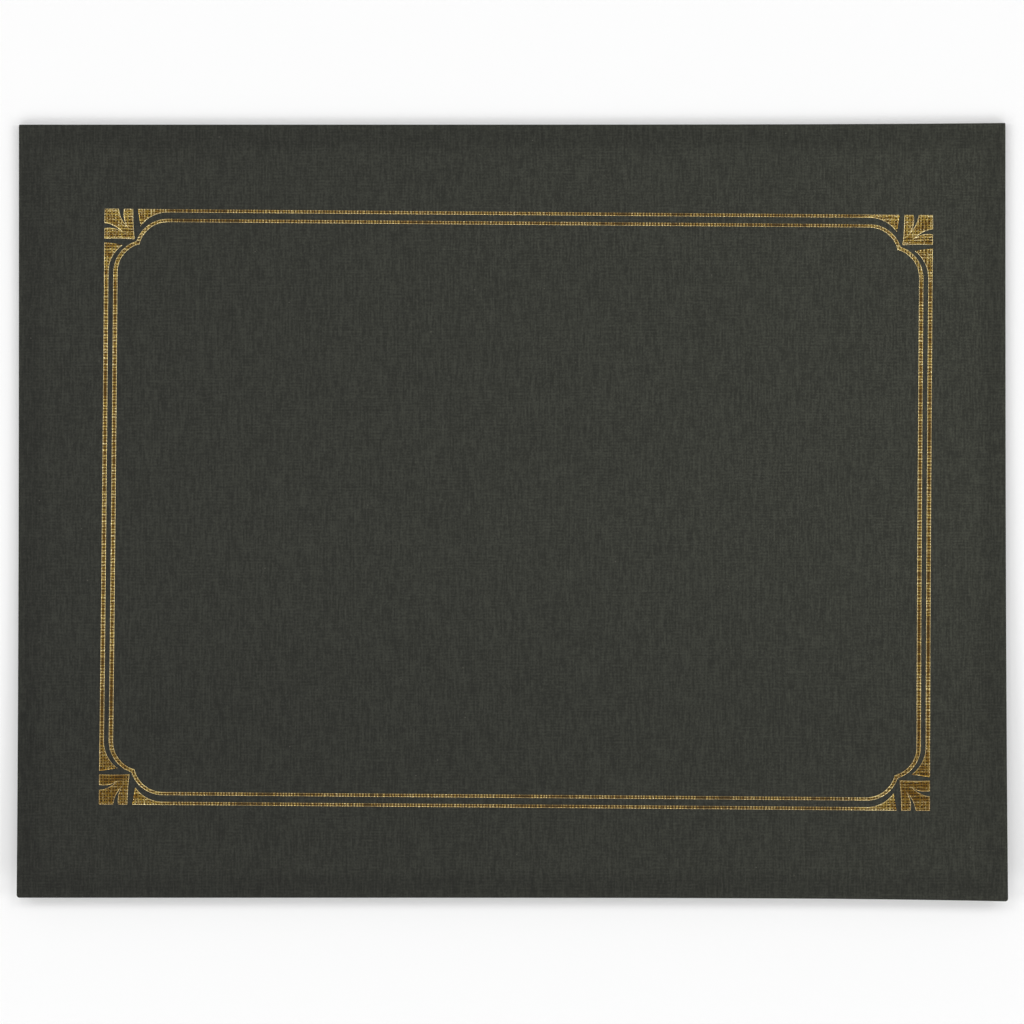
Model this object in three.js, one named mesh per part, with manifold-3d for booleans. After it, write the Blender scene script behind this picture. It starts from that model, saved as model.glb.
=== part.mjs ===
// A document cover: one landscape sheet of linen card folded once along its top edge,
// with a border stamped on the front in gold foil. Millimetres, +Z up, front leaf uppermost.
// The free edges of both leaves point to -Y and the fold lies at +Y.

import * as THREE from "three";
import { mergeVertices } from "three/addons/utils/BufferGeometryUtils.js";
import Module from "manifold-3d";

// The folded card
const coverWidth = 317.5;
const coverHeight = 248.4;
const cardThickness = 0.4;
const foldGap = 1.2;
const cornerRadius = 0.9;

// How the front leaf springs up towards its free edge, and more at its right corner
const springHeight = 3.2;
const springPower = 3;
const cornerSpring = 0.5;
const cornerSpringStart = 75;

// How far the fold and the front's free edge run out of line towards the right
const foldSkew = 0.55;
const frontEdgeSkew = 1.1;
const skewPower = 6;

// The four slits in the back leaf that hold the corners of a letter-size sheet
const documentWidth = 279.4;
const documentHeight = 215.9;
const slitLength = 34;
const slitWidth = 0.8;
const slitFromCorner = 17;

// The foil border, measured inward from its outer edge
const borderSideMargin = 25.45;
const borderLevelMargin = 28.5;
const borderShiftX = 1.4;
const borderShiftY = 0.27;
const borderTurnDeg = -0.44;
const levelRuleWidth = 1.0;
const uprightRuleWidth = 1.35;
const innerRuleInset = 3.62;
const lobeRadius = 10;
const lobeCentreAlong = 20.4;
const barEndAt = 10.7;
const flareRadius = 10.8;
const flareTurnDeg = 54.6;
const fanWidth = 9.2;
const fanHeight = 9.65;
const fanReach = 9.75;
const fanHollow = 0.35;
const notchFrom = 4.6;
const notchTo = 6.25;
const notchTipNear = 5.4;
const notchTipFar = 7.1;
const notchBow = 1.0;

// The foil film
const foilThickness = 0.05;
const foilLift = 0.03;
const foilFacet = 12;

// Facets of the card
const facetsAcross = 24;
const facetsBack = 6;
const facetsFold = 10;
const facetsFront = 22;
const facetsCorner = 4;
const facetsLobe = 12;

const foldRadius = cardThickness + foldGap / 2;
const foldAxisY = coverHeight / 2 - foldRadius;
const leafLength = coverHeight - foldRadius;
const borderWidth = coverWidth - 2 * borderSideMargin;
const borderHeight = coverHeight - 2 * borderLevelMargin;

const cardMaterial = new THREE.MeshStandardMaterial({ color: 0x3a3b36, roughness: 0.85, metalness: 0 });
const foilMaterial = new THREE.MeshStandardMaterial({ color: 0xb8995a, roughness: 0.4, metalness: 0.9 });

// Height of the front leaf above its place at the fold, at a share of the way to its free edge
function springAt(x, share) {
  const rise = share ** springPower;
  const beyond = Math.max(0, x - cornerSpringStart) / (coverWidth / 2 - cornerSpringStart);
  return rise * (springHeight + cornerSpring * beyond ** 2);
}

// How much of the skew there is at x, from 0 at the left to 1 at the right
function skewAt(x) {
  return Math.max(0, x / coverWidth + 0.5) ** skewPower;
}

function foldAxisAt(x) {
  return foldAxisY + foldSkew * skewAt(x);
}

function backLengthAt(x) {
  return leafLength + foldSkew * skewAt(x);
}

function frontLengthAt(x) {
  return leafLength + (foldSkew + frontEdgeSkew) * skewAt(x);
}

// Top face of the front leaf at a point of the plan
function frontTopAt(x, y) {
  const share = Math.max(0, foldAxisAt(x) - y) / frontLengthAt(x);
  return 2 * foldRadius + springAt(x, share);
}

// Shares of a leaf's length, closer together at the free edge where the corners are round
function leafShares(count) {
  const shares = [];
  const straight = 1 - cornerRadius / leafLength;
  for (let i = 0; i <= count; i += 1) shares.push((straight * i) / count);
  for (let i = 1; i <= facetsCorner; i += 1) {
    const turn = (Math.PI / 2) * (i / facetsCorner);
    shares.push(straight + (1 - straight) * Math.sin(turn));
  }
  return shares;
}

// Half the sheet's width at a share of a leaf's length
function halfWidthAt(share) {
  const fromEdge = (1 - share) * leafLength;
  const inside = Math.max(0, cornerRadius - fromEdge);
  return coverWidth / 2 - cornerRadius + Math.sqrt(Math.max(0, cornerRadius ** 2 - inside ** 2));
}

// The rows of the sheet from the back leaf's free edge, round the fold, to the front's free edge.
// Each row is a function that gives the outer and the inner point of the card at x.
function sheetRows() {
  const rows = [];
  for (const share of leafShares(facetsBack).reverse()) {
    const yAt = (x) => foldAxisAt(x) - share * backLengthAt(x);
    rows.push({
      half: halfWidthAt(share),
      outer: (x) => [x, yAt(x), 0],
      inner: (x) => [x, yAt(x), cardThickness],
    });
  }
  for (let i = 1; i < facetsFold; i += 1) {
    const turn = -Math.PI / 2 + (Math.PI * i) / facetsFold;
    const around = (x, radius) => [
      x,
      foldAxisAt(x) + radius * Math.cos(turn),
      foldRadius + radius * Math.sin(turn),
    ];
    rows.push({
      half: coverWidth / 2,
      outer: (x) => around(x, foldRadius),
      inner: (x) => around(x, foldGap / 2),
    });
  }
  for (const share of leafShares(facetsFront)) {
    const yAt = (x) => foldAxisAt(x) - share * frontLengthAt(x);
    rows.push({
      half: halfWidthAt(share),
      outer: (x) => [x, yAt(x), frontTopAt(x, yAt(x))],
      inner: (x) => [x, yAt(x), frontTopAt(x, yAt(x)) - cardThickness],
    });
  }
  return rows;
}

// The folded sheet as one closed surface: its outer and inner faces and the cut edge all round
function foldedSheet() {
  const rows = sheetRows();
  const across = facetsAcross + 1;
  const points = [];
  for (const side of ["outer", "inner"]) {
    for (const row of rows) {
      for (let i = 0; i < across; i += 1) {
        points.push(...row[side](row.half * ((2 * i) / facetsAcross - 1)));
      }
    }
  }
  const innerStart = rows.length * across;
  const faces = [];
  const quad = (a, b, c, d) => faces.push(a, b, c, a, c, d);
  for (let r = 0; r + 1 < rows.length; r += 1) {
    for (let i = 0; i < facetsAcross; i += 1) {
      const a = r * across + i;
      quad(a, a + across, a + across + 1, a + 1);
      quad(innerStart + a, innerStart + a + 1, innerStart + a + across + 1, innerStart + a + across);
    }
    const left = r * across;
    const right = left + facetsAcross;
    quad(left, innerStart + left, innerStart + left + across, left + across);
    quad(right, right + across, innerStart + right + across, innerStart + right);
  }
  const last = (rows.length - 1) * across;
  for (let i = 0; i < facetsAcross; i += 1) {
    quad(i, i + 1, innerStart + i + 1, innerStart + i);
    quad(last + i, innerStart + last + i, innerStart + last + i + 1, last + i + 1);
  }
  const geometry = new THREE.BufferGeometry();
  geometry.setAttribute("position", new THREE.Float32BufferAttribute(points, 3));
  geometry.setIndex(faces);
  return geometry;
}

const wasm = await Module();
wasm.setup();

function toSolid(geometry) {
  const bare = new THREE.BufferGeometry();
  bare.setAttribute("position", geometry.getAttribute("position"));
  if (geometry.index) bare.setIndex(geometry.index);
  const merged = mergeVertices(bare, 1e-4);
  return new wasm.Manifold(
    new wasm.Mesh({
      numProp: 3,
      vertProperties: merged.attributes.position.array,
      triVerts: new Uint32Array(merged.index.array),
    }),
  );
}

function toGeometry(solid) {
  const mesh = solid.getMesh();
  const geometry = new THREE.BufferGeometry();
  geometry.setAttribute("position", new THREE.BufferAttribute(mesh.vertProperties, mesh.numProp));
  geometry.setIndex(new THREE.BufferAttribute(mesh.triVerts, 1));
  geometry.computeVertexNormals();
  return geometry;
}

// The cutter of one corner slit, through the back leaf only
function slitCutter(sideX, sideY) {
  const depth = 2 * cardThickness;
  const cutter = new THREE.BoxGeometry(slitLength, slitWidth, depth);
  cutter.rotateZ((-sideX * sideY * Math.PI) / 4);
  const inward = slitFromCorner / Math.SQRT2;
  cutter.translate(sideX * (documentWidth / 2 - inward), sideY * (documentHeight / 2 - inward), 0);
  cutter.translate(0, 0, cardThickness + foldGap / 4 - depth / 2);
  return cutter;
}

function cardWithSlits() {
  let card = toSolid(foldedSheet());
  for (const sideX of [-1, 1]) {
    for (const sideY of [-1, 1]) card = card.subtract(toSolid(slitCutter(sideX, sideY)));
  }
  return toGeometry(card);
}

// A point of the border's own plan, turned and shifted to its place on the cover
function onCover(point) {
  const turned = point.clone().rotateAround(new THREE.Vector2(), THREE.MathUtils.degToRad(borderTurnDeg));
  return turned.add(new THREE.Vector2(borderShiftX, borderShiftY));
}

// Pairs of points across a strip, with more put in between where they lie far apart
function closerPairs(pairs, closed) {
  const result = [];
  const count = closed ? pairs.length : pairs.length - 1;
  for (let i = 0; i < count; i += 1) {
    const [a, b] = pairs[i];
    const [c, d] = pairs[(i + 1) % pairs.length];
    const steps = Math.ceil(Math.max(a.distanceTo(c), b.distanceTo(d)) / foilFacet);
    for (let k = 0; k < steps; k += 1) {
      result.push([a.clone().lerp(c, k / steps), b.clone().lerp(d, k / steps)]);
    }
  }
  if (!closed) result.push(pairs[pairs.length - 1]);
  return result;
}

// A strip of foil film between two edges, given as pairs of points, that follows the front leaf.
// The first point of each pair lies to the left of the way the strip runs.
function foilStrip(pairs, closed) {
  const rows = closerPairs(pairs, closed);
  const points = [];
  for (const pair of rows) {
    for (const point of pair.map(onCover)) {
      const base = frontTopAt(point.x, point.y) + foilLift;
      points.push(point.x, point.y, base, point.x, point.y, base + foilThickness);
    }
  }
  const faces = [];
  const quad = (a, b, c, d) => faces.push(a, b, c, a, c, d);
  const spans = closed ? rows.length : rows.length - 1;
  for (let i = 0; i < spans; i += 1) {
    const a = 4 * i;
    const b = 4 * ((i + 1) % rows.length);
    quad(a + 1, a + 3, b + 3, b + 1);
    quad(a, b, b + 2, a + 2);
    quad(a, a + 1, b + 1, b);
    quad(a + 2, b + 2, b + 3, a + 3);
  }
  if (!closed) {
    const last = 4 * (rows.length - 1);
    quad(0, 2, 3, 1);
    quad(last, last + 1, last + 3, last + 2);
  }
  const geometry = new THREE.BufferGeometry();
  geometry.setAttribute("position", new THREE.Float32BufferAttribute(points, 3));
  geometry.setIndex(faces);
  return geometry;
}

// A small foil shape from its outline
function foilPatch(outline) {
  const shape = new THREE.Shape(outline.map(onCover));
  const patch = new THREE.ExtrudeGeometry(shape, { depth: foilThickness, bevelEnabled: false });
  const place = patch.getAttribute("position");
  for (let i = 0; i < place.count; i += 1) {
    place.setZ(i, place.getZ(i) + foilLift + frontTopAt(place.getX(i), place.getY(i)));
  }
  return patch;
}

// Turns inward distances from the border's corner into a point of the plan
function fromCorner(sideX, sideY, along, inward) {
  return new THREE.Vector2(sideX * (borderWidth / 2 - along), sideY * (borderHeight / 2 - inward));
}

const lobeCentreInward = innerRuleInset + lobeRadius;

// Where the two lobes of the inner rule's middle line meet, as the turn of each
function lobeEnd() {
  const middle = (lobeCentreAlong + lobeCentreInward) / 2;
  const apart = (lobeCentreAlong - lobeCentreInward) / 2;
  const cusp = middle - Math.sqrt(lobeRadius ** 2 / 2 - apart ** 2);
  return Math.atan2(lobeCentreAlong - cusp, lobeCentreInward - cusp);
}

// The inner rule at a corner, from the level side round to the upright side, as pairs of distances
function lobedCorner() {
  const half = (share) => THREE.MathUtils.lerp(levelRuleWidth, uprightRuleWidth, share) / 2;
  const onLobe = (turn, radius) => [
    lobeCentreAlong - radius * Math.sin(turn),
    lobeCentreInward - radius * Math.cos(turn),
  ];
  const pairs = [];
  const end = lobeEnd();
  for (let i = 0; i <= facetsLobe; i += 1) {
    const turn = (end * i) / facetsLobe;
    const reach = half(i / facetsLobe / 2);
    pairs.push([onLobe(turn, lobeRadius + reach), onLobe(turn, lobeRadius - reach)]);
  }
  for (let i = facetsLobe; i >= 0; i -= 1) {
    const turn = (end * i) / facetsLobe;
    const reach = half(1 - i / facetsLobe / 2);
    pairs.push([
      onLobe(turn, lobeRadius + reach).reverse(),
      onLobe(turn, lobeRadius - reach).reverse(),
    ]);
  }
  return mitredCusp(pairs);
}

// Where the lobes meet, both sides of the rule are cut to the diagonal, as a mitre
function mitredCusp(pairs) {
  const kept = pairs.filter((pair, i) => {
    const first = i <= facetsLobe;
    return pair.every(([along, inward]) => (first ? along > inward : along < inward));
  });
  const joint = [1, -1].map((side) => {
    const middle = (lobeCentreAlong + lobeCentreInward) / 2;
    const apart = (lobeCentreAlong - lobeCentreInward) / 2;
    const reach = lobeRadius + (side * (levelRuleWidth + uprightRuleWidth)) / 4;
    const cusp = middle - Math.sqrt(reach ** 2 / 2 - apart ** 2);
    return [cusp, cusp];
  });
  const split = kept.findIndex(([outer]) => outer[0] < outer[1]);
  return [...kept.slice(0, split), joint, ...kept.slice(split)];
}

// The inner rule, all the way round clockwise from the top right corner
function innerRule() {
  const corner = lobedCorner();
  const turned = [...corner].reverse();
  const sides = [
    [1, 1, corner],
    [1, -1, turned],
    [-1, -1, corner],
    [-1, 1, turned],
  ];
  const pairs = sides.flatMap(([sideX, sideY, distances]) =>
    distances.map((pair) => pair.map(([along, inward]) => fromCorner(sideX, sideY, along, inward))),
  );
  return foilStrip(pairs, true);
}

// Pairs of distances across an outer bar: its straight outer edge, and its inner edge, which
// flares at each end along a curve round the inner rule's lobe
function flaredBar(length, ruleWidth) {
  const start = [];
  for (let i = 0; i <= facetsLobe; i += 1) {
    const share = i / facetsLobe;
    const turn = THREE.MathUtils.degToRad(flareTurnDeg) * (1 - share);
    start.push({
      outer: [THREE.MathUtils.lerp(barEndAt, lobeCentreAlong, share), 0],
      inner: [lobeCentreAlong - flareRadius * Math.sin(turn), ruleWidth + flareRadius * (1 - Math.cos(turn))],
    });
  }
  const mirror = ([along, inward]) => [length - along, inward];
  const end = start.map(({ outer, inner }) => ({ outer: mirror(outer), inner: mirror(inner) }));
  return [...start, ...end.reverse()];
}

// A level bar lies along the top (side 1) or the bottom (side -1)
function levelBar(side) {
  const at = ([along, inward]) => fromCorner(-side, side, along, inward);
  const bar = flaredBar(borderWidth, levelRuleWidth);
  return foilStrip(bar.map(({ outer, inner }) => [at(outer), at(inner)]), false);
}

// An upright bar lies along the right (side 1) or the left (side -1)
function uprightBar(side) {
  const at = ([along, inward]) => fromCorner(side, side, inward, along);
  const bar = flaredBar(borderHeight, uprightRuleWidth);
  return foilStrip(bar.map(({ outer, inner }) => [at(outer), at(inner)]), false);
}

// A bowed line between two points, as points after the first
function bowed(from, to, bow) {
  const [ax, ay] = from;
  const [bx, by] = to;
  const length = Math.hypot(bx - ax, by - ay);
  const middle = new THREE.Vector2((ax + bx) / 2, (ay + by) / 2);
  middle.x += (bow * (by - ay)) / length;
  middle.y -= (bow * (bx - ax)) / length;
  const curve = new THREE.QuadraticBezierCurve(
    new THREE.Vector2(ax, ay),
    middle,
    new THREE.Vector2(bx, by),
  );
  return curve.getPoints(facetsCorner).slice(1).map((p) => [p.x, p.y]);
}

// The fan in a corner: a small square with a curved notch in from each outer edge
function cornerFan(sideX, sideY) {
  const outline = [
    [0, 0],
    [notchFrom, 0],
    ...bowed([notchFrom, 0], [notchTipFar, notchTipNear], -notchBow),
    ...bowed([notchTipFar, notchTipNear], [notchTo, 0], notchBow),
    [fanWidth, 0],
    ...bowed([fanWidth, 0], [fanReach, fanReach], -fanHollow),
    ...bowed([fanReach, fanReach], [0, fanHeight], -fanHollow),
    [0, notchTo],
    ...bowed([0, notchTo], [notchTipNear, notchTipFar], notchBow),
    ...bowed([notchTipNear, notchTipFar], [0, notchFrom], -notchBow),
  ];
  return foilPatch(outline.map(([along, inward]) => fromCorner(sideX, sideY, along, inward)));
}

const cover = new THREE.Group();
// The origin lies under the middle of the whole, its skew included
cover.position.y = (frontEdgeSkew - foldSkew) / 2;

function addPiece(name, geometry, material) {
  const mesh = new THREE.Mesh(geometry, material.clone());
  mesh.name = name;
  cover.add(mesh);
}

addPiece("cover_sheet", cardWithSlits(), cardMaterial);
addPiece("foil_inner_rule", innerRule(), foilMaterial);
addPiece("foil_top_bar", levelBar(1), foilMaterial);
addPiece("foil_bottom_bar", levelBar(-1), foilMaterial);
addPiece("foil_left_bar", uprightBar(-1), foilMaterial);
addPiece("foil_right_bar", uprightBar(1), foilMaterial);
addPiece("foil_fan_top_left", cornerFan(-1, 1), foilMaterial);
addPiece("foil_fan_top_right", cornerFan(1, 1), foilMaterial);
addPiece("foil_fan_bottom_left", cornerFan(-1, -1), foilMaterial);
addPiece("foil_fan_bottom_right", cornerFan(1, -1), foilMaterial);

export default cover;
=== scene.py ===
"""Builds the document cover's visual model: the folded linen card, its gold foil border and the stage."""

import math
from collections import namedtuple

import bmesh
import bpy
from mathutils import Matrix, Vector


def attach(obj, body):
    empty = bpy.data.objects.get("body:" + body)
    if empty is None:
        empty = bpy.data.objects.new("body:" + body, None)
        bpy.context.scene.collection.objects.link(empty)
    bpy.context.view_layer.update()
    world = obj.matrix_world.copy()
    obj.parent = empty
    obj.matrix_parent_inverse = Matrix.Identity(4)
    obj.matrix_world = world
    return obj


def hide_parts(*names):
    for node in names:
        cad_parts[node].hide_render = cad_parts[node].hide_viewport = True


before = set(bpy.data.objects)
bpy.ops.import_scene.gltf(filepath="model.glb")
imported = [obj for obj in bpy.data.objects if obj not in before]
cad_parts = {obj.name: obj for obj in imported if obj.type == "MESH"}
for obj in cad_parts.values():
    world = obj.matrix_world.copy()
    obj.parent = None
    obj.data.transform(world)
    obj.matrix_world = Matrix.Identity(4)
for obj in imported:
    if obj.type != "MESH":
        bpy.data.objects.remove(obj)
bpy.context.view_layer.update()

bl_info = {
    "name": "Document Cover Builder",
    "version": (1, 0, 0),
    "blender": (4, 5, 0),
    "location": "View3D > Sidebar > Document Cover",
    "description": "Builds a folded linen card cover with a gold foil border",
    "category": "Object",
}

MM = 0.001
WHITE = (1, 1, 1, 1)

# The folded card, in millimetres
COVER_WIDTH = 317.5
COVER_HEIGHT = 248.4
CARD_THICKNESS = 0.4
FOLD_GAP = 1.2
CORNER_RADIUS = 0.9
SPRING_HEIGHT = 3.2
SPRING_POWER = 3
CORNER_SPRING = 0.5
CORNER_SPRING_START = 75
FOLD_SKEW = 0.55
FRONT_EDGE_SKEW = 1.1
SKEW_POWER = 6

# The slits in the back leaf
DOCUMENT_SIZE = (279.4, 215.9)
SLIT_LENGTH = 34
SLIT_WIDTH = 0.8
SLIT_FROM_CORNER = 17

# The foil border
BORDER_SIZE = (266.6, 191.4)
BORDER_SHIFT = (1.4, 0.27)
BORDER_TURN = math.radians(-0.44)
LEVEL_RULE_WIDTH = 1.0
UPRIGHT_RULE_WIDTH = 1.35
INNER_RULE_INSET = 3.62
LOBE_RADIUS = 10
LOBE_ALONG = 20.4
BAR_END_AT = 10.7
FLARE_RADIUS = 10.8
FLARE_TURN = math.radians(54.6)
FAN_WIDTH = 9.2
FAN_HEIGHT = 9.65
FAN_REACH = 9.75
FAN_HOLLOW = 0.35
NOTCH_FROM = 4.6
NOTCH_TO = 6.25
NOTCH_TIP = (5.4, 7.1)
NOTCH_BOW = 1.0
FOIL_THICKNESS = 0.05
FOIL_LIFT = 0.03
FOIL_RIM = 0.3
WIDEST_RIM_SHARE = 0.3
FOIL_STEP = 2.0

# How many steps the curves are divided into
CORNER_STEPS = 6
LOBE_STEPS = 24
FLARE_STEPS = 24
BOW_STEPS = 6
FLOOR_SIDES = 96
FLOOR_RIM_STEPS = 12

# Edges that turn by more than this are sharp, and foil faces whose normal is this upright are smooth
SHARP_TURN = math.radians(40)
BROAD_FACE = 0.5

FOLD_RADIUS = CARD_THICKNESS + FOLD_GAP / 2
FOLD_AXIS_Y = COVER_HEIGHT / 2 - FOLD_RADIUS
LEAF_LENGTH = COVER_HEIGHT - FOLD_RADIUS
MIDDLE_Y = (FRONT_EDGE_SKEW - FOLD_SKEW) / 2
LOBE_INWARD = INNER_RULE_INSET + LOBE_RADIUS
LOBE_MIDDLE = (LOBE_ALONG + LOBE_INWARD) / 2
LOBE_APART = (LOBE_ALONG - LOBE_INWARD) / 2

# A kind of cloudy noise: how fast it changes per millimetre across and along, its seed and its detail
Cloud = namedtuple("Cloud", "across along seed detail", defaults=(0.0, 2.0))
# A soft step: the values where it starts and ends, and its levels before and after it
Ramp = namedtuple("Ramp", "start end before after", defaults=(0.0, 1.0))

# The embossed threads, whose shifts are in thread pitches
THREAD_WANDER = Cloud(0.4, 0.03)
THREAD_KINK = Cloud(0.7, 0.5, 2.9)
THREAD_STRENGTH = Cloud(1.15, 0.2, 5.3)
THREAD_PATCHES = Cloud(0.09, 0.09, 4.4)
UPRIGHT_SEED = 1.7
LEVEL_SEED = 8.1
WANDER_SHIFT = 1.1
KINK_SHIFT = 0.6
RIDGE = Ramp(0.9, -0.5)
STRENGTH_SPREAD = (0.34, 0.62)
UPRIGHT_PATCH = Ramp(0.3, 0.55, 0.5, 1.0)
LEVEL_PATCH = Ramp(0.45, 0.7, 1.0, 0.5)
WEAKEST_ON_CARD = 0.25
WEAKEST_ON_FOIL = 0.5
EVEN_THREAD = 0.38

# The card's grain: its parts with their shares, and the spread from its darkest to its palest
SLUBS = Cloud(1.9, 0.24, 0.0, 1.0)
FIBRE = Cloud(1.5, 1.5)
UPRIGHT_SLUB_SEED = 12.5
UPRIGHT_SLUB_SHARE = 0.67
LEVEL_SLUB_SEED = 17.2
LEVEL_SLUB_SHARE = 0.33
SLUB_SHARE = 0.76
# The weave's share is painted shade between the threads and painted light on them; slubs and fibre are the
# card's own tone
WEAVE_SHADE_SHARE = 0.11
FIBRE_SHARE = 0.74
GRAIN_SPREAD = Ramp(0.58, 1.11)
EMBOSSED_WEAVE = 0.7
EMBOSSED_FIBRE = 0.3
CARD_ROUGHNESS = Ramp(0.3, 0.7, 0.72, 0.86)
CARD_GLOSS = 0.22

# Pale fibre specks: cells per millimetre, and how far from a cell's point its speck fades, in cells
SPECK_SCALE = 0.13
SPECK_EDGE = Ramp(0.035, 0.015)
SPECK_COLOUR = (0.2, 0.19, 0.16, 1)

# The card's shading, in millimetres: the soft band inside the edges, and the painted shade towards the
# bottom
BAND_START = Ramp(0.4, 2.6, 0.3, 1.0)
BAND_END = Ramp(5.0, 9.5, 1.0, 0.0)
LOW_SHADE_REACH = COVER_HEIGHT / 3

# Where the foil differs, in millimetres from the border's edges
LOWER_FANS = Ramp(40 - BORDER_SIZE[1] / 2, 6 - BORDER_SIZE[1] / 2)
FAN_SIDE = Ramp(12.0, 9.0)
RULE_INWARD = Ramp(8.0, 6.0)
RULE_ALONG = Ramp(16.0, 26.0)

# The foil's tone, with its painted highlights in glints and at the rims
FOIL_GRAIN = Cloud(2.2, 2.2, 1.0, 3.0)
FOIL_RUB = Cloud(0.6, 0.6, 7.0)
GOLD_ON_THREAD = Ramp(0.3, 0.8)
BROWN_WHERE_RUBBED = Ramp(0.55, 0.4, 0.0, 0.7)
# Painted highlights: glints by grain and by thread, and the pale rims
PAINTED_GLINT_BY_GRAIN = Ramp(0.5, 0.62)
PAINTED_GLINT_BY_THREAD = Ramp(0.5, 0.9)
PAINTED_RIM_HIGHLIGHT = 0.62
BROWN_FAN = 0.5
BROWN_LEVEL_RULE = 0.34
FOIL_ROUGHNESS = 0.38
FOIL_EMBOSS = 0.6
FOIL_EMBOSSED_WEAVE = 0.85
FOIL_EMBOSSED_GRAIN = 0.15

# The foil's wear: what keeps the film, and the bare card in its holes
KEPT_BY_GRAIN = 0.25
LEVEL_RULE_WEAR = -0.05
KEPT = Ramp(0.38, 0.62)
KEPT_AT_RIM = Ramp(0.0, 1.0, 0.8, 0.6)
HOLLOW_ROUGHNESS = 0.85
HOLLOW_GLOSS = 0.15

# The floor's tone: shares of its colour in its clouds and far out, and where it starts to dull
FLOOR_CLOUD = Cloud(0.05, 0.05)
CLOUD_WHITE = 0.995
RIM_WHITE = 0.9
DULL_FROM = 1 / 4

# How suddenly the ring of lights rises at the back
RING_RISE_POWER = 4

# The camera's sensor in millimetres, and how far it sees in metres
SENSOR_WIDTH = 36
VIEW_REACH = 100


def skew(x):
    """How much of the sheet's skew there is at x, from 0 at the left to 1 at the right."""
    return max(0.0, x / COVER_WIDTH + 0.5) ** SKEW_POWER


def fold_axis(x):
    return FOLD_AXIS_Y + FOLD_SKEW * skew(x)


def back_length(x):
    return LEAF_LENGTH + FOLD_SKEW * skew(x)


def front_length(x):
    return LEAF_LENGTH + (FOLD_SKEW + FRONT_EDGE_SKEW) * skew(x)


def front_top(x, y):
    """Height of the front leaf's top face over a point of the plan."""
    share = max(0.0, fold_axis(x) - y) / front_length(x)
    beyond = max(0.0, x - CORNER_SPRING_START) / (COVER_WIDTH / 2 - CORNER_SPRING_START)
    return 2 * FOLD_RADIUS + share**SPRING_POWER * (SPRING_HEIGHT + CORNER_SPRING * beyond**2)


def in_frame(x, y, z):
    """A point in millimetres as a vector in metres in the row's frame."""
    return Vector((x, y + MIDDLE_Y, z)) * MM


class Shader:
    """Puts nodes into one material and links them."""

    def __init__(self, name, colour):
        self.material = bpy.data.materials.new(name)
        self.material.use_nodes = True
        self.material.diffuse_color = (*colour, 1)
        self.tree = self.material.node_tree
        self.tree.nodes.clear()

    def put(self, kind, inputs=None, output=0, **settings):
        """Adds a node; an input is a socket to link from, or the value it holds."""
        node = self.tree.nodes.new(kind)
        for name, value in settings.items():
            setattr(node, name, value)
        for key, value in (inputs or {}).items():
            if isinstance(value, bpy.types.NodeSocket):
                self.tree.links.new(value, node.inputs[key])
            else:
                node.inputs[key].default_value = value
        return node.outputs[output]

    def maths(self, operation, first, second=None):
        inputs = {0: first} if second is None else {0: first, 1: second}
        return self.put("ShaderNodeMath", inputs, operation=operation)

    def add(self, first, second):
        return self.maths("ADD", first, second)

    def times(self, first, second):
        return self.maths("MULTIPLY", first, second)

    def larger(self, first, second):
        return self.maths("MAXIMUM", first, second)

    def remap(self, value, start, end, before=0.0, after=1.0):
        """A soft step from one level before the start to another after the end."""
        inputs = {"Value": value, 1: start, 2: end, 3: before, 4: after}
        return self.put("ShaderNodeMapRange", inputs, interpolation_type="SMOOTHSTEP")

    def slope(self, value, start, end):
        """0 at the start and 1 at the end, straight between them."""
        return self.put("ShaderNodeMapRange", {"Value": value, 1: start, 2: end})

    def mix(self, share, first, second, blend="MIX"):
        inputs = {0: share, 6: first, 7: second}
        return self.put("ShaderNodeMix", inputs, output=2, data_type="RGBA", blend_type=blend)

    def evened(self, value, share):
        """Draws the height of threads to the same low level, by a share."""
        return self.put("ShaderNodeMix", {0: share, 2: value, 3: EVEN_THREAD}, data_type="FLOAT")

    def cloud(self, kind, across, along, seed=0.0):
        """Noise of one of the kinds at the top, over a plane."""
        place = self.vector(self.times(across, kind.across), self.times(along, kind.along), kind.seed + seed)
        inputs = {"Vector": place, "Scale": 1.0, "Detail": kind.detail, "Roughness": 0.5}
        return self.put("ShaderNodeTexNoise", inputs)

    def bump(self, strength, depth, height):
        """The surface's direction when a height from 0 to 1 stands up by a depth."""
        return self.put("ShaderNodeBump", {"Strength": strength, "Distance": depth, "Height": height})

    def plan(self):
        """The point's x, y and z on the object, in millimetres."""
        place = self.put("ShaderNodeTexCoord", output=3)
        scaled = self.put("ShaderNodeVectorMath", {0: place, "Scale": 1 / MM}, operation="SCALE")
        split = self.put("ShaderNodeSeparateXYZ", {0: scaled}).node
        return split.outputs[0], split.outputs[1], split.outputs[2]

    def vector(self, x, y, z):
        return self.put("ShaderNodeCombineXYZ", {0: x, 1: y, 2: z})

    def finish(self, surface):
        end = self.tree.nodes.new("ShaderNodeOutputMaterial")
        self.tree.links.new(surface, end.inputs["Surface"])
        return self.material


def threads(shader, across, along, pitch, weakest, seed):
    """Height of one set of threads: straight ridges side by side, uneven in width and in strength."""
    wander = shader.cloud(THREAD_WANDER, across, along, seed)
    kink = shader.cloud(THREAD_KINK, across, along, seed)
    phase = shader.add(shader.maths("DIVIDE", across, pitch), shader.times(wander, WANDER_SHIFT))
    phase = shader.add(phase, shader.times(kink, KINK_SHIFT))
    wave = shader.maths("COSINE", shader.times(phase, 2 * math.pi))
    strength = shader.cloud(THREAD_STRENGTH, across, along, seed)
    strength = shader.remap(strength, *STRENGTH_SPREAD, weakest, 1.0)
    return shader.times(shader.remap(wave, *RIDGE), strength)


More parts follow.
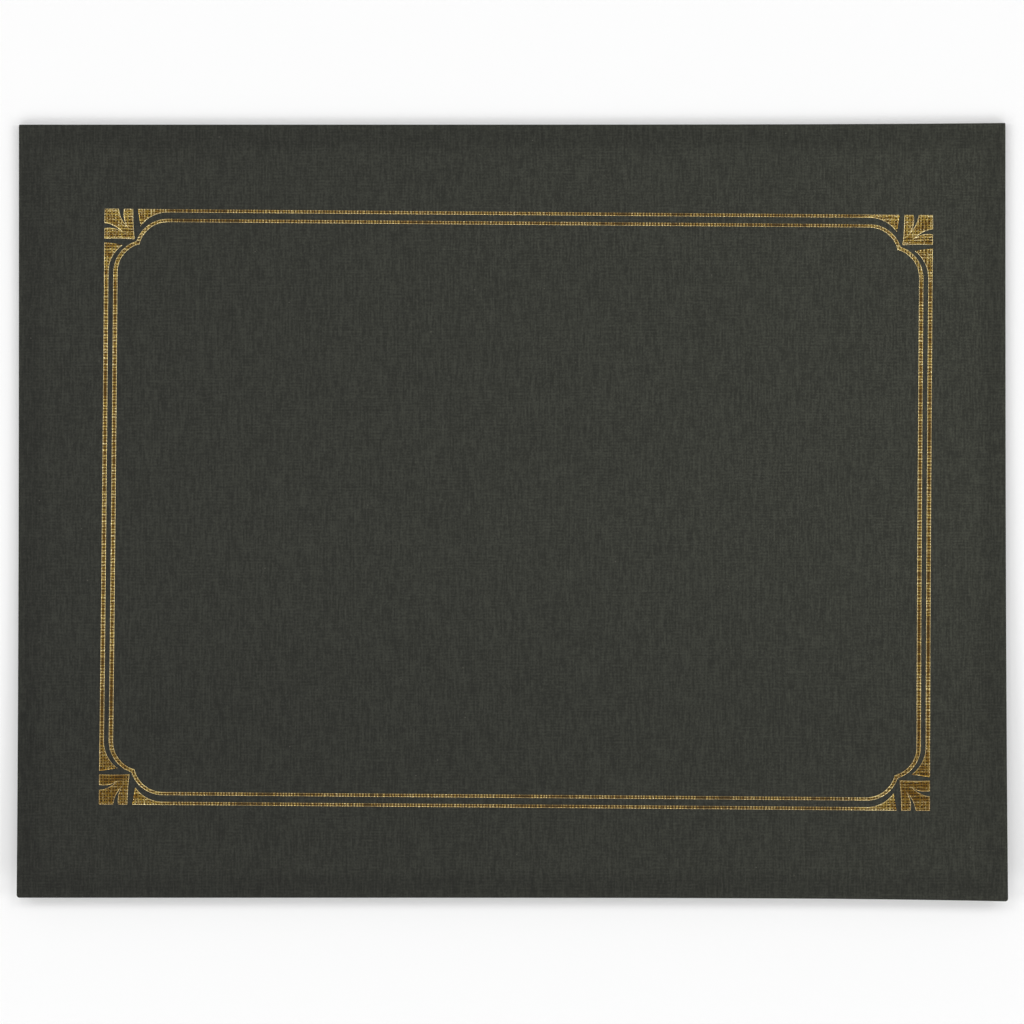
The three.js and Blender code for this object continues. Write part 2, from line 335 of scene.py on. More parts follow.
def linen(shader, x, y, pitch, weakest):
    """Heights of the linen weave's upright and level threads, from 0 beside them to 1 on them."""
    patches = shader.cloud(THREAD_PATCHES, x, y)
    upright = threads(shader, x, y, pitch, weakest, UPRIGHT_SEED)
    level = threads(shader, y, x, pitch, weakest, LEVEL_SEED)
    upright = shader.times(upright, shader.remap(patches, *UPRIGHT_PATCH))
    level = shader.times(level, shader.remap(patches, *LEVEL_PATCH))
    return upright, level


def card_grain(shader, x, y, weave, fibre):
    """How pale the card is from point to point, about 0.8 on average; the weave's part is painted shade
    between the threads and painted light on them.

    Slubs are thick places of the threads, here streaks a few millimetres long.
    """
    upright = shader.times(shader.cloud(SLUBS, x, y, UPRIGHT_SLUB_SEED), UPRIGHT_SLUB_SHARE)
    level = shader.times(shader.cloud(SLUBS, y, x, LEVEL_SLUB_SEED), LEVEL_SLUB_SHARE)
    grain = shader.add(shader.times(weave, WEAVE_SHADE_SHARE), shader.times(fibre, FIBRE_SHARE))
    return shader.add(grain, shader.times(shader.add(upright, level), SLUB_SHARE))


def from_edge(shader, place, size):
    """How far a place is inside the nearer of two opposite edges, in millimetres."""
    return shader.maths("SUBTRACT", size / 2, shader.maths("ABSOLUTE", place))


def card_shade(shader, settings, x, y, colour):
    """Darkens the card with painted shade towards the left and the bottom, and in a soft band inside its
    edges.
    """
    # Painted shade: the card grows darker towards the left and towards the bottom
    left = shader.slope(x, COVER_WIDTH / 2, -COVER_WIDTH / 2)
    colour = shader.mix(left, colour, (*settings.left_painted_shade, 1), "MULTIPLY")
    low = shader.remap(y, 0.0, -LOW_SHADE_REACH)
    colour = shader.mix(low, colour, (*settings.low_painted_shade, 1), "MULTIPLY")
    edge = shader.maths("MINIMUM", from_edge(shader, x, COVER_WIDTH), from_edge(shader, y, COVER_HEIGHT))
    band = shader.times(shader.remap(edge, *BAND_START), shader.remap(edge, *BAND_END))
    shade = shader.mix(band, WHITE, (*settings.edge_shade, 1))
    return shader.mix(1.0, colour, shade, "MULTIPLY")


def card_material(settings):
    """Charcoal card embossed with a linen weave, with pale fibre specks, painted shade between the threads
    and towards the left and the bottom, and shaded edges.
    """
    shader = Shader("charcoal_linen_card", settings.card_colour)
    x, y, _ = shader.plan()
    weave = shader.larger(*linen(shader, x, y, settings.weave_pitch, WEAKEST_ON_CARD))
    fibre = shader.cloud(FIBRE, x, y)
    # The grain's ends hold painted shade between the threads and painted light on them
    dark = (*[c * settings.grain_dark_with_shade for c in settings.card_colour], 1)
    light = (*[c * settings.grain_light_with_sheen for c in settings.card_colour], 1)
    grain = card_grain(shader, x, y, weave, fibre)
    colour = shader.mix(shader.remap(grain, *GRAIN_SPREAD), dark, light)
    colour = card_shade(shader, settings, x, y, colour)
    specks = shader.put(
        "ShaderNodeTexVoronoi",
        {"Vector": shader.vector(x, y, 0.0), "Scale": SPECK_SCALE, "Randomness": 1.0},
    )
    speck = shader.times(shader.remap(specks, *SPECK_EDGE), settings.speck_strength)
    colour = shader.mix(speck, colour, SPECK_COLOUR)
    height = shader.add(shader.times(weave, EMBOSSED_WEAVE), shader.times(fibre, EMBOSSED_FIBRE))
    surface = shader.put(
        "ShaderNodeBsdfPrincipled",
        {
            "Base Color": colour,
            "Roughness": shader.remap(fibre, *CARD_ROUGHNESS),
            "Specular IOR Level": CARD_GLOSS,
            "Normal": shader.bump(settings.emboss_strength, settings.emboss_depth, height),
        },
    )
    return shader.finish(surface)


def border_parts(shader, x, y):
    """Shares from 0 to 1 that pick out the two lower fans, the level rules and the upright rules."""
    from_side = from_edge(shader, x, BORDER_SIZE[0])
    from_level = from_edge(shader, y, BORDER_SIZE[1])
    fans = shader.times(shader.remap(y, *LOWER_FANS), shader.remap(from_side, *FAN_SIDE))
    level = shader.times(shader.remap(from_level, *RULE_INWARD), shader.remap(from_side, *RULE_ALONG))
    upright = shader.times(shader.remap(from_side, *RULE_INWARD), shader.remap(from_level, *RULE_ALONG))
    return fans, level, upright


def foil_tint(shader, settings, weave, grain, rubbed, rim, browned):
    """Gold on the threads, brown where the film is thin or rubbed and on the lower fans and level rules, and
    painted highlights: pale in glints and at rims.
    """
    gold = (*settings.foil_colour, 1)
    # Painted highlight colour of the glints and the rims
    pale = (*settings.foil_painted_highlight, 1)
    brown = (*settings.foil_shade, 1)
    tint = shader.mix(shader.remap(weave, *GOLD_ON_THREAD), brown, gold)
    tint = shader.mix(shader.remap(rubbed, *BROWN_WHERE_RUBBED), tint, brown)
    # Painted highlights: glints where grain and threads rise, and pale lines along the rims
    glints = shader.times(shader.remap(grain, *PAINTED_GLINT_BY_GRAIN), shader.remap(weave, *PAINTED_GLINT_BY_THREAD))
    tint = shader.mix(glints, tint, pale)
    tint = shader.mix(shader.times(rim, PAINTED_RIM_HIGHLIGHT), tint, pale)
    return shader.mix(browned, tint, brown)


def foil_kept(shader, weave, grain, rim, level):
    """Where the film has held: on the threads and at the rims, and less on the level rules."""
    kept = shader.add(weave, shader.times(grain, KEPT_BY_GRAIN))
    kept = shader.add(kept, shader.times(level, LEVEL_RULE_WEAR))
    kept = shader.remap(kept, *KEPT)
    return shader.larger(kept, shader.times(rim, shader.remap(level, *KEPT_AT_RIM)))


def foil_material(settings):
    """Gold film pressed over the weave: it shines on the threads and is lost in the holes."""
    shader = Shader("gold_foil", settings.foil_colour)
    x, y, _ = shader.plan()
    fans, level, upright = border_parts(shader, x, y)
    warp, weft = linen(shader, x, y, settings.weave_pitch, WEAKEST_ON_FOIL)
    weave = shader.larger(shader.evened(warp, upright), shader.evened(weft, level))
    rim = shader.put("ShaderNodeAttribute", attribute_name="rim", output=2)
    grain = shader.cloud(FOIL_GRAIN, x, y)
    rubbed = shader.cloud(FOIL_RUB, x, y)
    browned = shader.add(shader.times(fans, BROWN_FAN), shader.times(level, BROWN_LEVEL_RULE))
    height = shader.add(shader.times(weave, FOIL_EMBOSSED_WEAVE), shader.times(grain, FOIL_EMBOSSED_GRAIN))
    bump = shader.bump(FOIL_EMBOSS, settings.emboss_depth, height)
    film = shader.put(
        "ShaderNodeBsdfPrincipled",
        {
            "Base Color": foil_tint(shader, settings, weave, grain, rubbed, rim, browned),
            "Metallic": 1.0,
            "Roughness": FOIL_ROUGHNESS,
            "Normal": bump,
        },
    )
    bare = shader.put(
        "ShaderNodeBsdfPrincipled",
        {
            "Base Color": (*settings.foil_hollow, 1),
            "Roughness": HOLLOW_ROUGHNESS,
            "Specular IOR Level": HOLLOW_GLOSS,
            "Normal": bump,
        },
    )
    kept = foil_kept(shader, weave, grain, rim, level)
    return shader.finish(shader.put("ShaderNodeMixShader", {0: kept, 1: bare, 2: film}))


def to_mesh(name, build):
    """Turns a bmesh into a mesh with a name."""
    mesh = bpy.data.meshes.new(name)
    build.to_mesh(mesh)
    build.free()
    return mesh


def leaf_shares(count):
    """Shares of a leaf's length, closer together at the free edge with its round corners."""
    straight = 1 - CORNER_RADIUS / LEAF_LENGTH
    shares = [straight * i / count for i in range(count + 1)]
    for i in range(1, CORNER_STEPS + 1):
        shares.append(straight + (1 - straight) * math.sin(math.pi / 2 * i / CORNER_STEPS))
    return shares


def half_width(share):
    """Half the sheet's width at a share of a leaf's length."""
    inside = max(0.0, CORNER_RADIUS - (1 - share) * LEAF_LENGTH)
    return COVER_WIDTH / 2 - CORNER_RADIUS + math.sqrt(max(0.0, CORNER_RADIUS**2 - inside**2))


def sheet_rows(settings):
    """Rows from the back leaf's free edge round the fold to the front's: half width and two places."""
    rows = []

    def back_row(share):
        def at(height):
            return lambda x: (fold_axis(x) - share * back_length(x), height)

        return at(0.0), at(CARD_THICKNESS)

    def fold_row(turn):
        def around(radius):
            return lambda x: (fold_axis(x) + radius * math.cos(turn), FOLD_RADIUS + radius * math.sin(turn))

        return around(FOLD_RADIUS), around(FOLD_GAP / 2)

    def front_row(share):
        def top(x):
            y = fold_axis(x) - share * front_length(x)
            return y, front_top(x, y)

        def under(x):
            y, z = top(x)
            return y, z - CARD_THICKNESS

        return top, under

    for share in reversed(leaf_shares(settings.leaf_facets // 2)):
        rows.append((half_width(share), *back_row(share)))
    for i in range(1, settings.fold_facets):
        turn = math.pi * (i / settings.fold_facets - 0.5)
        rows.append((COVER_WIDTH / 2, *fold_row(turn)))
    for share in leaf_shares(settings.leaf_facets):
        rows.append((half_width(share), *front_row(share)))
    return rows


def sheet_mesh(settings):
    """The folded sheet: outer and inner faces and the cut edge all round."""
    rows = sheet_rows(settings)
    columns = settings.cross_facets
    build = bmesh.new()
    grids = []
    for side in (1, 2):
        grid = []
        for row in rows:
            half = row[0]
            line = []
            for i in range(columns + 1):
                x = half * (2 * i / columns - 1)
                line.append(build.verts.new(in_frame(x, *row[side](x))))
            grid.append(line)
        grids.append(grid)
    outer, inner = grids
    for r in range(len(rows) - 1):
        for i in range(columns):
            build.faces.new((outer[r][i], outer[r + 1][i], outer[r + 1][i + 1], outer[r][i + 1]))
            build.faces.new((inner[r][i], inner[r][i + 1], inner[r + 1][i + 1], inner[r + 1][i]))
        build.faces.new((outer[r][0], inner[r][0], inner[r + 1][0], outer[r + 1][0]))
        build.faces.new((outer[r][-1], outer[r + 1][-1], inner[r + 1][-1], inner[r][-1]))
    for i in range(columns):
        build.faces.new((outer[0][i], outer[0][i + 1], inner[0][i + 1], inner[0][i]))
        build.faces.new((outer[-1][i], inner[-1][i], inner[-1][i + 1], outer[-1][i + 1]))
    for face in build.faces:
        face.smooth = True
    return to_mesh("linen_card", build)


def slit_mesh():
    """The cutters of the four corner slits, through the back leaf only."""
    build = bmesh.new()
    depth = 2 * CARD_THICKNESS
    middle_z = CARD_THICKNESS + FOLD_GAP / 4 - depth / 2
    inward = SLIT_FROM_CORNER / math.sqrt(2)
    for side_x in (-1, 1):
        for side_y in (-1, 1):
            place = in_frame(
                side_x * (DOCUMENT_SIZE[0] / 2 - inward), side_y * (DOCUMENT_SIZE[1] / 2 - inward), middle_z
            )
            size = Matrix.Diagonal((SLIT_LENGTH * MM, SLIT_WIDTH * MM, depth * MM, 1))
            turn = Matrix.Rotation(-side_x * side_y * math.pi / 4, 4, "Z")
            bmesh.ops.create_cube(build, size=1, matrix=Matrix.Translation(place) @ turn @ size)
    return to_mesh("slit_cutters", build)


def add_object(name, data):
    """Puts a mesh, a light or a camera into the scene as an object."""
    thing = bpy.data.objects.new(name, data)
    bpy.context.scene.collection.objects.link(thing)
    return thing


def sharpen(mesh):
    """Marks the edges where the surface turns sharply."""
    build = bmesh.new()
    build.from_mesh(mesh)
    for edge in build.edges:
        edge.smooth = len(edge.link_faces) == 2 and edge.calc_face_angle(0.0) < SHARP_TURN
    build.to_mesh(mesh)
    build.free()


def build_card(settings):
    """Makes the folded card with its slits and puts it in the CAD sheet's place."""
    card = add_object("linen_card", sheet_mesh(settings))
    cutters = add_object("slit_cutters", slit_mesh())
    cut = card.modifiers.new("slits", "BOOLEAN")
    cut.operation = "DIFFERENCE"
    cut.solver = "EXACT"
    cut.object = cutters
    bpy.context.view_layer.update()
    evaluated = card.evaluated_get(bpy.context.evaluated_depsgraph_get())
    whole = bpy.data.meshes.new_from_object(evaluated)
    card.modifiers.clear()
    card.data = whole
    bpy.data.objects.remove(cutters)
    sharpen(card.data)
    card.data.materials.clear()
    card.data.materials.append(card_material(settings))
    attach(card, "root")
    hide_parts("cover_sheet")
    return card


def from_corner(side_x, side_y, along, inward):
    """Inward distances from the border's corner as a point of the cover's plan."""
    x = side_x * (BORDER_SIZE[0] / 2 - along)
    y = side_y * (BORDER_SIZE[1] / 2 - inward)
    turned = Matrix.Rotation(BORDER_TURN, 2) @ Vector((x, y))
    return turned + Vector(BORDER_SHIFT)


def cusp(radius):
    """Where the two lobes of a given radius meet, as the distance inward on the diagonal."""
    return LOBE_MIDDLE - math.sqrt(radius**2 / 2 - LOBE_APART**2)


def lobed_corner():
    """The inner rule at a corner, from the level side to the upright one, as pairs of distances."""
    end = math.atan2(LOBE_ALONG - cusp(LOBE_RADIUS), LOBE_INWARD - cusp(LOBE_RADIUS))
    pairs = []
    for lobe, turns in ((0, range(LOBE_STEPS + 1)), (1, range(LOBE_STEPS, -1, -1))):
        for i in turns:
            part = i / LOBE_STEPS / 2
            across = 1 - part if lobe else part
            half = (LEVEL_RULE_WIDTH + (UPRIGHT_RULE_WIDTH - LEVEL_RULE_WIDTH) * across) / 2
            pair = []
            for radius in (LOBE_RADIUS + half, LOBE_RADIUS - half):
                along = LOBE_ALONG - radius * math.sin(end * i / LOBE_STEPS)
                inward = LOBE_INWARD - radius * math.cos(end * i / LOBE_STEPS)
                if along > inward:
                    pair.append((inward, along) if lobe else (along, inward))
            if len(pair) == 2:
                pairs.append(pair)
    mean_half = (LEVEL_RULE_WIDTH + UPRIGHT_RULE_WIDTH) / 4
    mitre = [(cusp(LOBE_RADIUS + side * mean_half),) * 2 for side in (1, -1)]
    split = next(i for i, (outer, inner) in enumerate(pairs) if outer[0] < outer[1])
    return pairs[:split] + [mitre] + pairs[split:]


def inner_rule_pairs():
    """Pairs of points across the inner rule, clockwise from the top right corner."""
    corner = lobed_corner()
    pairs = []
    for side_x, side_y in ((1, 1), (1, -1), (-1, -1), (-1, 1)):
        ordered = corner if side_x == side_y else corner[::-1]
        for outer, inner in ordered:
            pairs.append((from_corner(side_x, side_y, *outer), from_corner(side_x, side_y, *inner)))
    return pairs


def bar_pairs(length, rule_width, place):
    """Pairs of points across an outer bar, whose inner edge flares round the lobe at each end."""
    start = []
    for i in range(FLARE_STEPS + 1):
        share = i / FLARE_STEPS
        turn = FLARE_TURN * (1 - share)
        outer = (BAR_END_AT + (LOBE_ALONG - BAR_END_AT) * share, 0.0)
        inward = rule_width + FLARE_RADIUS * (1 - math.cos(turn))
        inner = (LOBE_ALONG - FLARE_RADIUS * math.sin(turn), inward)
        start.append((outer, inner))
    mirrored = [tuple((length - along, inward) for along, inward in pair) for pair in reversed(start)]
    return [(place(*outer), place(*inner)) for outer, inner in start + mirrored]


def level_place(side):
    return lambda along, inward: from_corner(-side, side, along, inward)


def upright_place(side):
    return lambda along, inward: from_corner(side, side, inward, along)


def closer(pairs, closed):
    """Puts more pairs in between where they lie far apart."""
    result = []
    following = pairs[1:] + pairs[:1] if closed else pairs[1:]
    for (a, b), (c, d) in zip(pairs, following):
        steps = math.ceil(max((a - c).length, (b - d).length) / FOIL_STEP)
        for k in range(max(1, steps)):
            result.append((a.lerp(c, k / max(1, steps)), b.lerp(d, k / max(1, steps))))
    if not closed:
        result.append(pairs[-1])
    return result


def on_leaf(point, lift):
    return in_frame(point.x, point.y, front_top(point.x, point.y) + lift)


def strip_mesh(name, pairs, closed):
    """A strip of film between two edges, with a rim along each and its thickness turned down."""
    rows = closer(pairs, closed)
    build = bmesh.new()
    rim = build.verts.layers.float.new("rim")
    grid = []
    top = FOIL_LIFT + FOIL_THICKNESS
    for a, b in rows:
        share = min(WIDEST_RIM_SHARE, FOIL_RIM / (b - a).length)
        profile = (
            (0, FOIL_LIFT, 1),
            (0, top, 1),
            (share, top, 0),
            (0.5, top, 0),
            (1 - share, top, 0),
            (1, top, 1),
            (1, FOIL_LIFT, 1),
        )
        line = []
        for place, lift, on_rim in profile:
            vertex = build.verts.new(on_leaf(a.lerp(b, place), lift))
            vertex[rim] = on_rim
            line.append(vertex)
        grid.append(line)
    following = grid[1:] + grid[:1] if closed else grid[1:]
    for line, after in zip(grid, following):
        for i in range(len(line) - 1):
            build.faces.new((line[i], line[i + 1], after[i + 1], after[i]))
        build.faces.new((line[-1], line[0], after[0], after[-1]))
    if not closed:
        build.faces.new(grid[0][::-1])
        build.faces.new(grid[-1])
    return film_mesh(name, build)


def film_mesh(name, build):
    """Finishes a film's mesh: faces turned outward, and its broad faces smooth."""
    bmesh.ops.recalc_face_normals(build, faces=build.faces)
    for face in build.faces:
        face.smooth = abs(face.normal.z) > BROAD_FACE
    return to_mesh(name, build)


def bowed(start, end, bow):
    """Points after the first along a bowed line."""
    a, b = Vector(start), Vector(end)
    run = b - a
    middle = (a + b) / 2 + Vector((run.y, -run.x)).normalized() * bow
    points = []
    for i in range(1, BOW_STEPS + 1):
        t = i / BOW_STEPS
        points.append(a.lerp(middle, t).lerp(middle.lerp(b, t), t))
    return points


def fan_outline(side_x, side_y):
    """The outline of a corner fan: a small square with a curved notch in from each outer edge."""
    far = (FAN_REACH, FAN_REACH)
    tip = NOTCH_TIP[::-1]
    outline = [(0, 0), (NOTCH_FROM, 0)]
    outline += bowed((NOTCH_FROM, 0), tip, -NOTCH_BOW)
    outline += bowed(tip, (NOTCH_TO, 0), NOTCH_BOW)
    outline += [(FAN_WIDTH, 0)]
    outline += bowed((FAN_WIDTH, 0), far, -FAN_HOLLOW)
    outline += bowed(far, (0, FAN_HEIGHT), -FAN_HOLLOW)
    outline += [(0, NOTCH_TO)]
    outline += bowed((0, NOTCH_TO), NOTCH_TIP, NOTCH_BOW)
    outline += bowed(NOTCH_TIP, (0, NOTCH_FROM), -NOTCH_BOW)
    return [from_corner(side_x, side_y, *point) for point in outline]


def fan_mesh(name, side_x, side_y):
    """A corner fan with a rim along its edge and its thickness turned down."""
    build = bmesh.new()
    rim = build.verts.layers.float.new("rim")
    outline = fan_outline(side_x, side_y)
    top = [build.verts.new(on_leaf(p, FOIL_LIFT + FOIL_THICKNESS)) for p in outline]
    face = build.faces.new(top)
    skirt = [build.verts.new(on_leaf(p, FOIL_LIFT)) for p in outline]
    for i, vertex in enumerate(top):
        j = (i + 1) % len(top)
        build.faces.new((vertex, skirt[i], skirt[j], top[j]))
    build.faces.new(skirt[::-1])
    for vertex in top + skirt:
        vertex[rim] = 1
    bmesh.ops.recalc_face_normals(build, faces=build.faces)
    bmesh.ops.inset_region(build, faces=[face], thickness=FOIL_RIM * MM, use_even_offset=True)
    for vertex in face.verts:
        vertex[rim] = 0
    bmesh.ops.triangulate(build, faces=[face])
    return film_mesh(name, build)


def foil_meshes():
    """The nine foil shapes, by the name that follows gold_ and foil_."""
    meshes = {"inner_rule": strip_mesh("inner_rule", inner_rule_pairs(), True)}
    levels = {"top": 1, "bottom": -1}
    sides = {"left": -1, "right": 1}
    for level, side_y in levels.items():
        pairs = bar_pairs(BORDER_SIZE[0], LEVEL_RULE_WIDTH, level_place(side_y))
        meshes[f"{level}_bar"] = strip_mesh(f"{level}_bar", pairs, False)
    for side, side_x in sides.items():
        pairs = bar_pairs(BORDER_SIZE[1], UPRIGHT_RULE_WIDTH, upright_place(side_x))
        meshes[f"{side}_bar"] = strip_mesh(f"{side}_bar", pairs, False)
    for level, side_y in levels.items():
        for side, side_x in sides.items():
            name = f"fan_{level}_{side}"
            meshes[name] = fan_mesh(name, side_x, side_y)
    return meshes


def build_foil(settings):
    """Makes the nine foil shapes and puts each in its CAD node's place."""
    gold = foil_material(settings)
    for name, mesh in foil_meshes().items():
        piece = add_object("gold_" + name, mesh)
        mesh.materials.append(gold)
        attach(piece, "root")
        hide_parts("foil_" + name)


def stage_material(settings):
    """Matt white paper sweep, a little duller far out."""
    shader = Shader("white_sweep", settings.floor_colour)
    x, y, _ = shader.plan()
    far = shader.put("ShaderNodeVectorMath", {0: shader.vector(x, y, 0.0)}, output=1, operation="LENGTH")
    white, cloud_white, rim_white = [
        (*[c * share for c in settings.floor_colour], 1) for share in (1.0, CLOUD_WHITE, RIM_WHITE)
    ]
    flat_end = settings.floor_radius / MM
    colour = shader.mix(shader.cloud(FLOOR_CLOUD, x, y), white, cloud_white)
    colour = shader.mix(shader.remap(far, flat_end * DULL_FROM, flat_end), colour, rim_white)
    surface = shader.put(
        "ShaderNodeBsdfPrincipled",
        {"Base Color": colour, "Roughness": 1.0, "Specular IOR Level": 0.0},
    )
    return shader.finish(surface)


def floor_mesh(settings):
    """A flat round floor that curves up at its far rim, so that a low view shows it as a backdrop."""
    build = bmesh.new()
    rings = []
    for step in range(FLOOR_RIM_STEPS + 1):
        turn = math.radians(settings.rim_turn) * step / FLOOR_RIM_STEPS
        radius = settings.floor_radius + settings.rim_radius * math.sin(turn)
        height = settings.rim_radius * (1 - math.cos(turn))
        ring = []
        for i in range(FLOOR_SIDES):
            around = 2 * math.pi * i / FLOOR_SIDES
            ring.append(build.verts.new((radius * math.cos(around), radius * math.sin(around), height)))
        rings.append(ring)
    build.faces.new(rings[0])
    for lower, upper in zip(rings, rings[1:]):
        for i in range(FLOOR_SIDES):
            j = (i + 1) % FLOOR_SIDES
            face = build.faces.new((lower[j], lower[i], upper[i], upper[j]))
            face.smooth = True
    return to_mesh("floor", build)


def light_stage(settings):
    """Even light from all round, and a ring of soft lights that stand higher at the back."""
    scene = bpy.context.scene
    world = bpy.data.worlds.new("studio")
    world.use_nodes = True
    background = world.node_tree.nodes["Background"]
    background.inputs["Color"].default_value = WHITE
    background.inputs["Strength"].default_value = settings.sky_strength
    scene.world = world
    for i in range(settings.ring_lights):
        turn = 2 * math.pi * i / settings.ring_lights
        behind = math.sin(turn / 2) ** RING_RISE_POWER
        rise = (settings.ring_height_behind - settings.ring_height_before) * behind
        height = math.radians(settings.ring_height_before + rise)
        light = bpy.data.lights.new(f"ring_light_{i}", "SUN")
        light.energy = settings.ring_strength * math.pi / (settings.ring_lights * math.sin(height))
        light.angle = math.radians(settings.ring_light_spread)
        lamp = add_object(light.name, light)
        lamp.rotation_euler = (math.pi / 2 - height, 0, turn)


def place_camera(settings):
    """The camera looks straight down from above the cover."""
    camera = bpy.data.cameras.new("camera")
    camera.sensor_width = SENSOR_WIDTH
    camera.lens = SENSOR_WIDTH * settings.camera_height / settings.view_width
    camera.clip_end = VIEW_REACH
    eye = add_object("camera", camera)
    eye.location = (settings.camera_x, settings.camera_y, settings.camera_height)
    bpy.context.scene.camera = eye
    bpy.context.scene.view_settings.view_transform = "Standard"


def build_stage(settings):
    """Lays the floor, sets the lights and hangs the camera."""
    floor = add_object("floor", floor_mesh(settings))
    floor.data.materials.append(stage_material(settings))
    light_stage(settings)
    place_camera(settings)


def colour_setting(name, description, default):
    return bpy.props.FloatVectorProperty(
        name=name, description=description, subtype="COLOR", size=3, default=default
    )


class CoverSettings(bpy.types.PropertyGroup):
    """How the card and its foil are made."""

    card_colour: colour_setting("Card Colour", "Colour of the dyed card", (0.035, 0.0367, 0.0281))
    # Painted shade: darker towards the left edge and towards the free edge at the bottom
    left_painted_shade: colour_setting("Left Shade", "Tint of the card at its left edge", (0.755, 0.75, 0.785))
    low_painted_shade: colour_setting(
        "Low Shade", "Tint of the card towards its free edge", (0.875, 0.875, 0.88)
    )
    edge_shade: colour_setting(
        "Edge Shade", "Tint of the soft band just inside the edges", (0.84, 0.84, 0.84)
    )
    # Ends of the card's grain: its own tone, with painted shade between the threads and painted light on
    # them
    grain_dark_with_shade: bpy.props.FloatProperty(
        name="Grain Dark", description="Share of the card colour in the weave's hollows", default=0.62,
    )
    grain_light_with_sheen: bpy.props.FloatProperty(
        name="Grain Light", description="Share of the card colour on the threads", default=1.52,
    )
    weave_pitch: bpy.props.FloatProperty(
        name="Weave Pitch", description="Distance between embossed threads, in millimetres",
        default=0.95, min=0.2, max=4,
    )
    emboss_depth: bpy.props.FloatProperty(
        name="Emboss Depth", description="Depth of the embossed weave", default=0.00006, unit="LENGTH",
    )
    emboss_strength: bpy.props.FloatProperty(
        name="Emboss Strength", description="How strongly the weave shades the card", default=0.5,
    )
    speck_strength: bpy.props.FloatProperty(
        name="Speck Strength", description="How clearly pale fibres show", default=0.3,
    )
    foil_colour: colour_setting("Foil Colour", "Gold on top of the threads", (0.48, 0.322, 0.058))
    # Painted highlight of the glints and the rims
    foil_painted_highlight: colour_setting(
        "Foil Highlight", "Pale gold along edges and glints", (1.0, 0.86, 0.47)
    )
    foil_shade: colour_setting("Foil Shade", "Orange brown where the film thins", (0.21, 0.1, 0.016))
    foil_hollow: colour_setting(
        "Foil Hollow", "Colour in the holes of the weave under the foil", (0.021, 0.015, 0.006)
    )
    leaf_facets: bpy.props.IntProperty(
        name="Leaf Facets", description="Rows of faces down the front leaf", default=80, min=8,
    )
    cross_facets: bpy.props.IntProperty(
        name="Cross Facets", description="Columns of faces across the card", default=120, min=8,
    )
    fold_facets: bpy.props.IntProperty(
        name="Fold Facets", description="Rows of faces round the fold", default=16, min=4,
    )


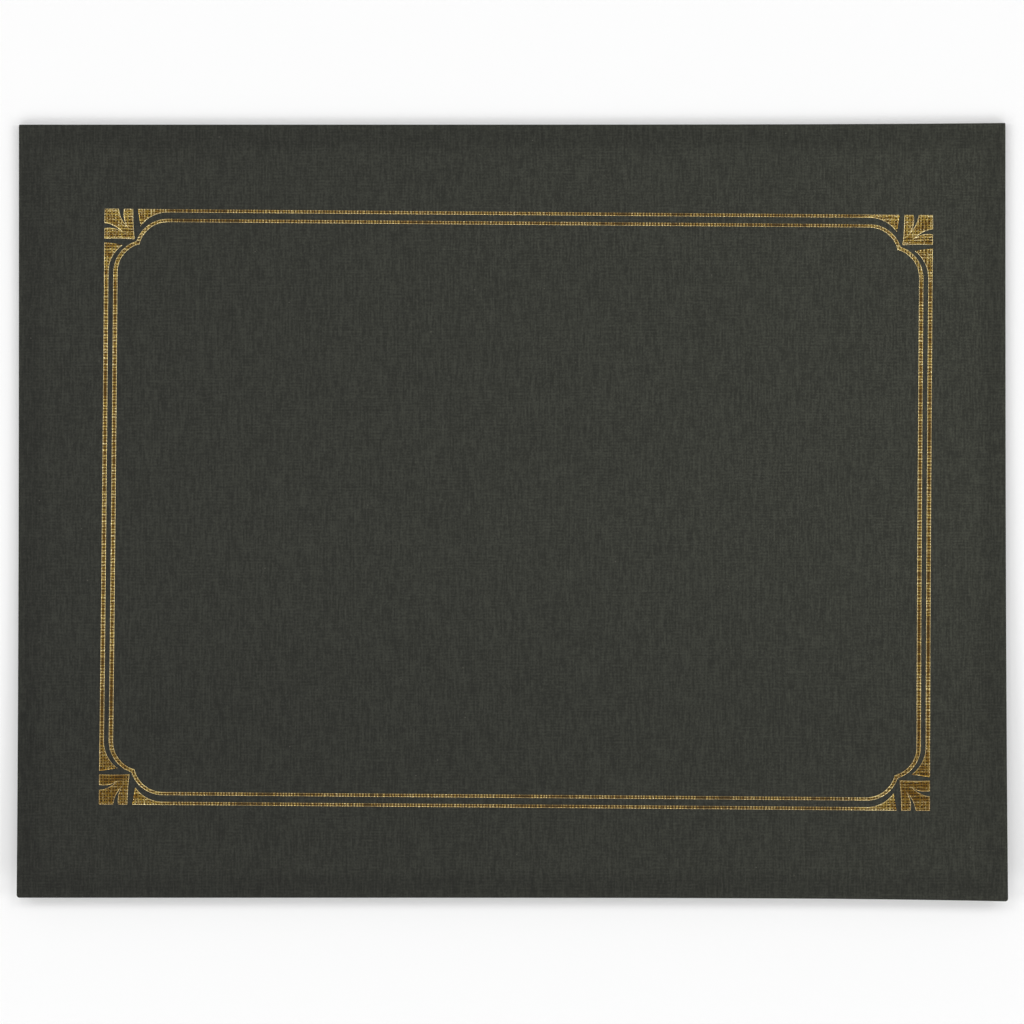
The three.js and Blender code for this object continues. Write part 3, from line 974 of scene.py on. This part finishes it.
class StageSettings(bpy.types.PropertyGroup):
    """The floor, the lights and the camera."""

    floor_radius: bpy.props.FloatProperty(
        name="Floor Radius", description="How far out the floor is flat", default=12.0, unit="LENGTH",
    )
    rim_radius: bpy.props.FloatProperty(
        name="Rim Radius", description="Radius of the curve at the floor's rim", default=6.0, unit="LENGTH",
    )
    rim_turn: bpy.props.FloatProperty(
        name="Rim Turn", description="How steeply the floor's rim ends, in degrees", default=70.0,
    )
    floor_colour: colour_setting("Floor Colour", "Colour of the sweep", (0.93, 0.93, 0.93))
    sky_strength: bpy.props.FloatProperty(
        name="Sky Strength", description="Even light from all round", default=0.405,
    )
    ring_lights: bpy.props.IntProperty(
        name="Ring Lights", description="Soft lights in a ring round the cover", default=8, min=1,
    )
    ring_strength: bpy.props.FloatProperty(
        name="Ring Strength", description="Light of the whole ring on the floor", default=0.635,
    )
    ring_height_before: bpy.props.FloatProperty(
        name="Ring Height Before", description="Elevation of the ring in front, in degrees", default=24.0,
    )
    ring_height_behind: bpy.props.FloatProperty(
        name="Ring Height Behind", description="Elevation of the ring behind, in degrees", default=54.0,
    )
    ring_light_spread: bpy.props.FloatProperty(
        name="Ring Light Spread", description="Width of each light, in degrees", default=20.0,
    )
    camera_height: bpy.props.FloatProperty(
        name="Camera Height", description="Height of the lens over the floor", default=0.7, unit="LENGTH",
    )
    camera_x: bpy.props.FloatProperty(
        name="Camera X", description="Place of the lens to the right", default=-0.00006, unit="LENGTH",
    )
    camera_y: bpy.props.FloatProperty(
        name="Camera Y", description="Place of the lens towards the fold", default=-0.00035, unit="LENGTH",
    )
    view_width: bpy.props.FloatProperty(
        name="View Width", description="Width of floor in the frame", default=0.3305, unit="LENGTH",
    )


class COVER_OT_build_card(bpy.types.Operator):
    """Build the folded linen card"""

    bl_idname = "cover.build_card"
    bl_label = "Build Card"

    def execute(self, context):
        build_card(context.scene.cover_settings)
        return {"FINISHED"}


class COVER_OT_build_foil(bpy.types.Operator):
    """Build the gold foil border"""

    bl_idname = "cover.build_foil"
    bl_label = "Build Foil"

    def execute(self, context):
        build_foil(context.scene.cover_settings)
        return {"FINISHED"}


class COVER_OT_build_stage(bpy.types.Operator):
    """Build the floor, the lights and the camera"""

    bl_idname = "cover.build_stage"
    bl_label = "Build Stage"

    def execute(self, context):
        build_stage(context.scene.cover_stage)
        return {"FINISHED"}


class COVER_PT_builder(bpy.types.Panel):
    """Settings and build steps of the document cover."""

    bl_label = "Document Cover"
    bl_idname = "COVER_PT_builder"
    bl_space_type = "VIEW_3D"
    bl_region_type = "UI"
    bl_category = "Document Cover"

    def draw(self, context):
        for settings in (context.scene.cover_settings, context.scene.cover_stage):
            box = self.layout.box()
            for name in settings.__annotations__:
                box.prop(settings, name)
        for operator in OPERATORS:
            self.layout.operator(operator.bl_idname)


OPERATORS = (COVER_OT_build_card, COVER_OT_build_foil, COVER_OT_build_stage)
CLASSES = (CoverSettings, StageSettings, *OPERATORS, COVER_PT_builder)


def register():
    for item in CLASSES:
        bpy.utils.register_class(item)
    bpy.types.Scene.cover_settings = bpy.props.PointerProperty(type=CoverSettings)
    bpy.types.Scene.cover_stage = bpy.props.PointerProperty(type=StageSettings)


def unregister():
    del bpy.types.Scene.cover_stage
    del bpy.types.Scene.cover_settings
    for item in reversed(CLASSES):
        bpy.utils.unregister_class(item)


def main():
    register()
    bpy.ops.cover.build_card()
    bpy.ops.cover.build_foil()
    bpy.ops.cover.build_stage()


if __name__ == "__main__":
    main()
